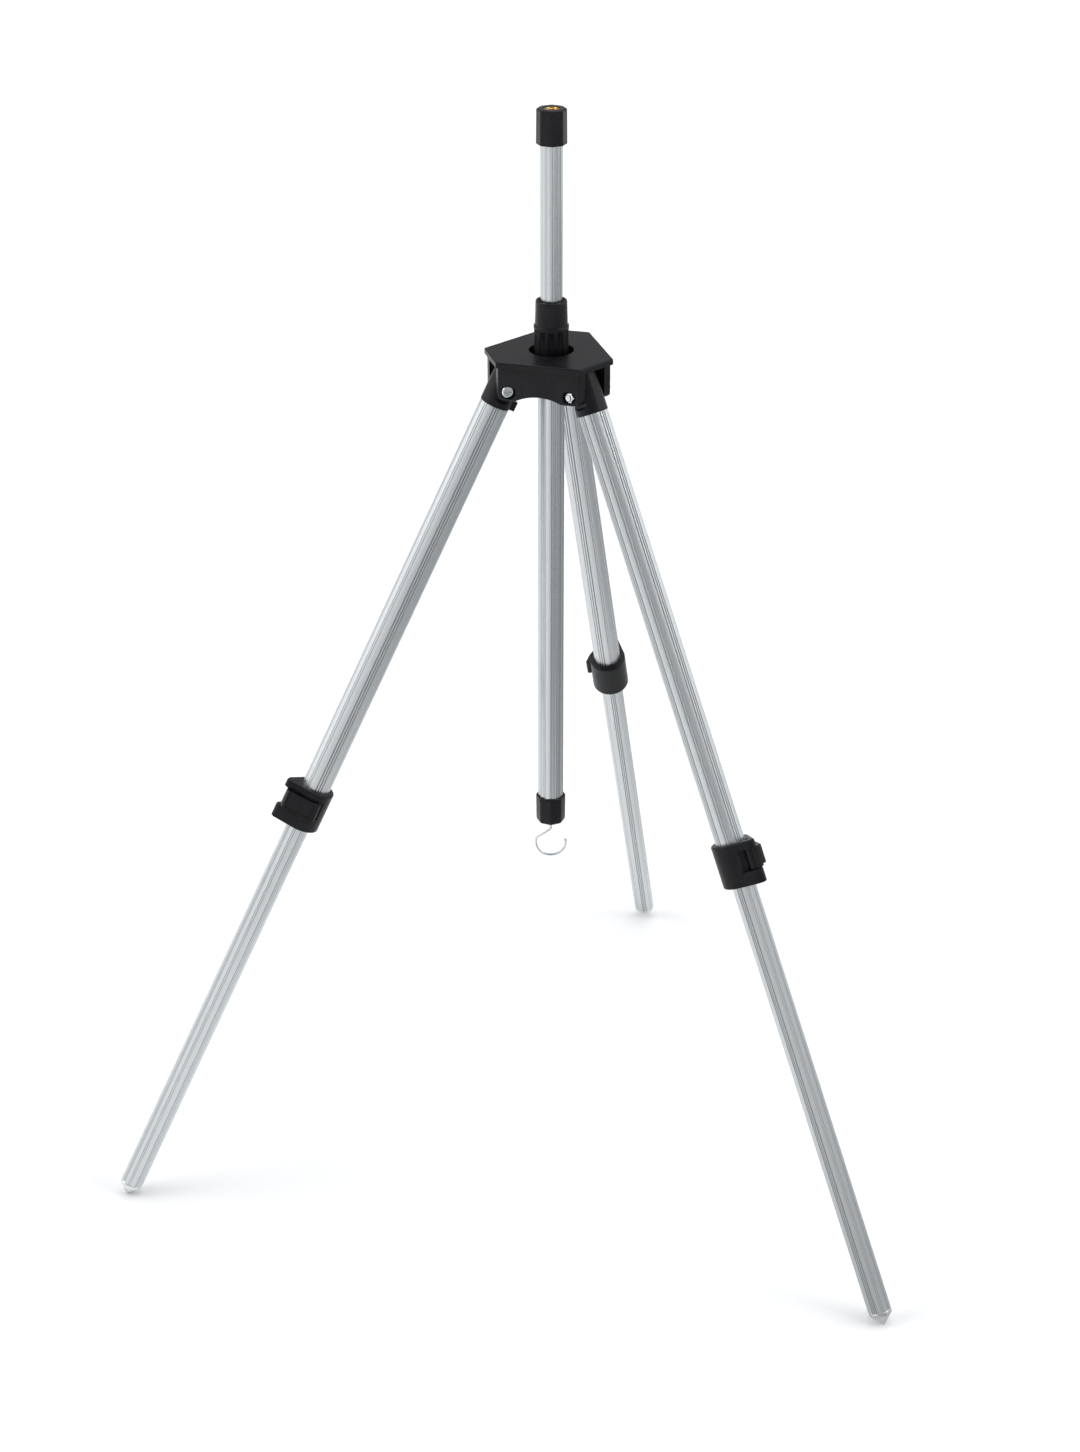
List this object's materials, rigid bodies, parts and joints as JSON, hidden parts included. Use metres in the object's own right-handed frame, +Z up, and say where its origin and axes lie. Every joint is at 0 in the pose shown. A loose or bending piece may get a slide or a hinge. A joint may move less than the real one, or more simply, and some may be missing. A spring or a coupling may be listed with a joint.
{
  "type": "tripod stand",
  "caption": "Folding three-leg aluminium stand with telescopic lever-lock legs, sliding centre column, brass threaded top, spiked feet and load hook.",
  "frame": {"origin": "on the floor, where the axis of the centre column meets the plane of the three spike tips", "axes": "+Z up the centre column; leg c stands towards +Y, legs a and b towards -150 and -30 degrees from +X"},
  "size_m": [0.716, 0.6228, 0.9826],
  "materials": {
    "black_plastic": "satin moulded nylon",
    "bush_plastic": "matte bearing plastic",
    "leg_aluminium": "satin clear anodised, lengthwise ribs",
    "column_aluminium": "satin clear anodised, lengthwise flutes",
    "zinc_steel": "bright zinc plate",
    "brass": "turned"
  },
  "bodies": {
    "hub": {"hub_body": "black_plastic", "column_collet": "bush_plastic", "leg_a_pivot_bolt": "zinc_steel", "leg_a_pivot_nut": "zinc_steel", "leg_b_pivot_bolt": "zinc_steel", "leg_b_pivot_nut": "zinc_steel", "leg_c_pivot_bolt": "zinc_steel", "leg_c_pivot_nut": "zinc_steel"},
    "column_nut": {"column_lock_nut": "black_plastic"},
    "column": {"column_tube": "column_aluminium", "column_top_collar": "black_plastic", "column_end_cap": "black_plastic", "mast_collet": "bush_plastic"},
    "mast_sleeve": {"mast_lock_sleeve": "black_plastic"},
    "mast": {"mast_tube": "column_aluminium", "mast_guide_bush": "bush_plastic", "mast_top_cap": "black_plastic", "brass_insert": "brass"},
    "hook": {"load_hook": "zinc_steel"},
    "leg_a_upper": {"leg_a_knuckle": "black_plastic", "leg_a_upper_tube": "leg_aluminium", "leg_a_lock_collar": "black_plastic", "leg_a_lock_pin": "zinc_steel", "leg_a_brake_shoe": "bush_plastic"},
    "leg_a_lower": {"leg_a_lower_tube": "leg_aluminium", "leg_a_guide_bush": "bush_plastic", "leg_a_foot_spike": "zinc_steel"},
    "leg_a_lever": {"leg_a_lock_lever": "black_plastic"},
    "leg_b_upper": {"leg_b_knuckle": "black_plastic", "leg_b_upper_tube": "leg_aluminium", "leg_b_lock_collar": "black_plastic", "leg_b_lock_pin": "zinc_steel", "leg_b_brake_shoe": "bush_plastic"},
    "leg_b_lower": {"leg_b_lower_tube": "leg_aluminium", "leg_b_guide_bush": "bush_plastic", "leg_b_foot_spike": "zinc_steel"},
    "leg_b_lever": {"leg_b_lock_lever": "black_plastic"},
    "leg_c_upper": {"leg_c_knuckle": "black_plastic", "leg_c_upper_tube": "leg_aluminium", "leg_c_lock_collar": "black_plastic", "leg_c_lock_pin": "zinc_steel", "leg_c_brake_shoe": "bush_plastic"},
    "leg_c_lower": {"leg_c_lower_tube": "leg_aluminium", "leg_c_guide_bush": "bush_plastic", "leg_c_foot_spike": "zinc_steel"},
    "leg_c_lever": {"leg_c_lock_lever": "black_plastic"}
  },
  "joints": [
    {"name": "column_nut_turn", "type": "hinge", "parent": "hub", "child": "column_nut", "pos_m": [0, 0, 0.785], "axis": [0, 0, 1], "range_deg": [0, 180]},
    {"name": "column_slide", "type": "slide", "parent": "hub", "child": "column", "axis": [0, 0, 1], "range_m": [0, 0.38]},
    {"name": "mast_sleeve_turn", "type": "hinge", "parent": "column", "child": "mast_sleeve", "pos_m": [0, 0, 0.81], "axis": [0, 0, 1], "range_deg": [0, 180]},
    {"name": "mast_slide", "type": "slide", "parent": "column", "child": "mast", "axis": [0, 0, 1], "range_m": [-0.125, 0.22]},
    {"name": "hook_swivel", "type": "hinge", "parent": "column", "child": "hook", "pos_m": [0, 0, 0.34], "axis": [0, 0, 1], "continuous": true},
    {"name": "leg_a_fold", "type": "hinge", "parent": "hub", "child": "leg_a_upper", "pos_m": [-0.03663, -0.02115, 0.7575], "axis": [0.5, -0.866, 0], "range_deg": [0, 25.8]},
    {"name": "leg_a_extend", "type": "slide", "parent": "leg_a_upper", "child": "leg_a_lower", "axis": [0.3778, 0.2181, 0.8998], "range_m": [0, 0.335]},
    {"name": "leg_a_lever_turn", "type": "hinge", "parent": "leg_a_upper", "child": "leg_a_lever", "pos_m": [-0.20461, -0.11951, 0.39518], "axis": [-0.3778, -0.2181, -0.8998], "range_deg": [0, 105]},
    {"name": "leg_b_fold", "type": "hinge", "parent": "hub", "child": "leg_b_upper", "pos_m": [0.03663, -0.02115, 0.7575], "axis": [0.5, 0.866, 0], "range_deg": [0, 25.8]},
    {"name": "leg_b_extend", "type": "slide", "parent": "leg_b_upper", "child": "leg_b_lower", "axis": [-0.3778, 0.2181, 0.8998], "range_m": [0, 0.335]},
    {"name": "leg_b_lever_turn", "type": "hinge", "parent": "leg_b_upper", "child": "leg_b_lever", "pos_m": [0.2058, -0.11744, 0.39518], "axis": [0.3778, -0.2181, -0.8998], "range_deg": [0, 105]},
    {"name": "leg_c_fold", "type": "hinge", "parent": "hub", "child": "leg_c_upper", "pos_m": [0, 0.0423, 0.7575], "axis": [-1, 0, 0], "range_deg": [0, 25.8]},
    {"name": "leg_c_extend", "type": "slide", "parent": "leg_c_upper", "child": "leg_c_lower", "axis": [0, -0.4363, 0.8998], "range_m": [0, 0.335]},
    {"name": "leg_c_lever_turn", "type": "hinge", "parent": "leg_c_upper", "child": "leg_c_lever", "pos_m": [-0.00119, 0.23695, 0.39518], "axis": [0, 0.4363, -0.8998], "range_deg": [0, 105]}
  ]
}
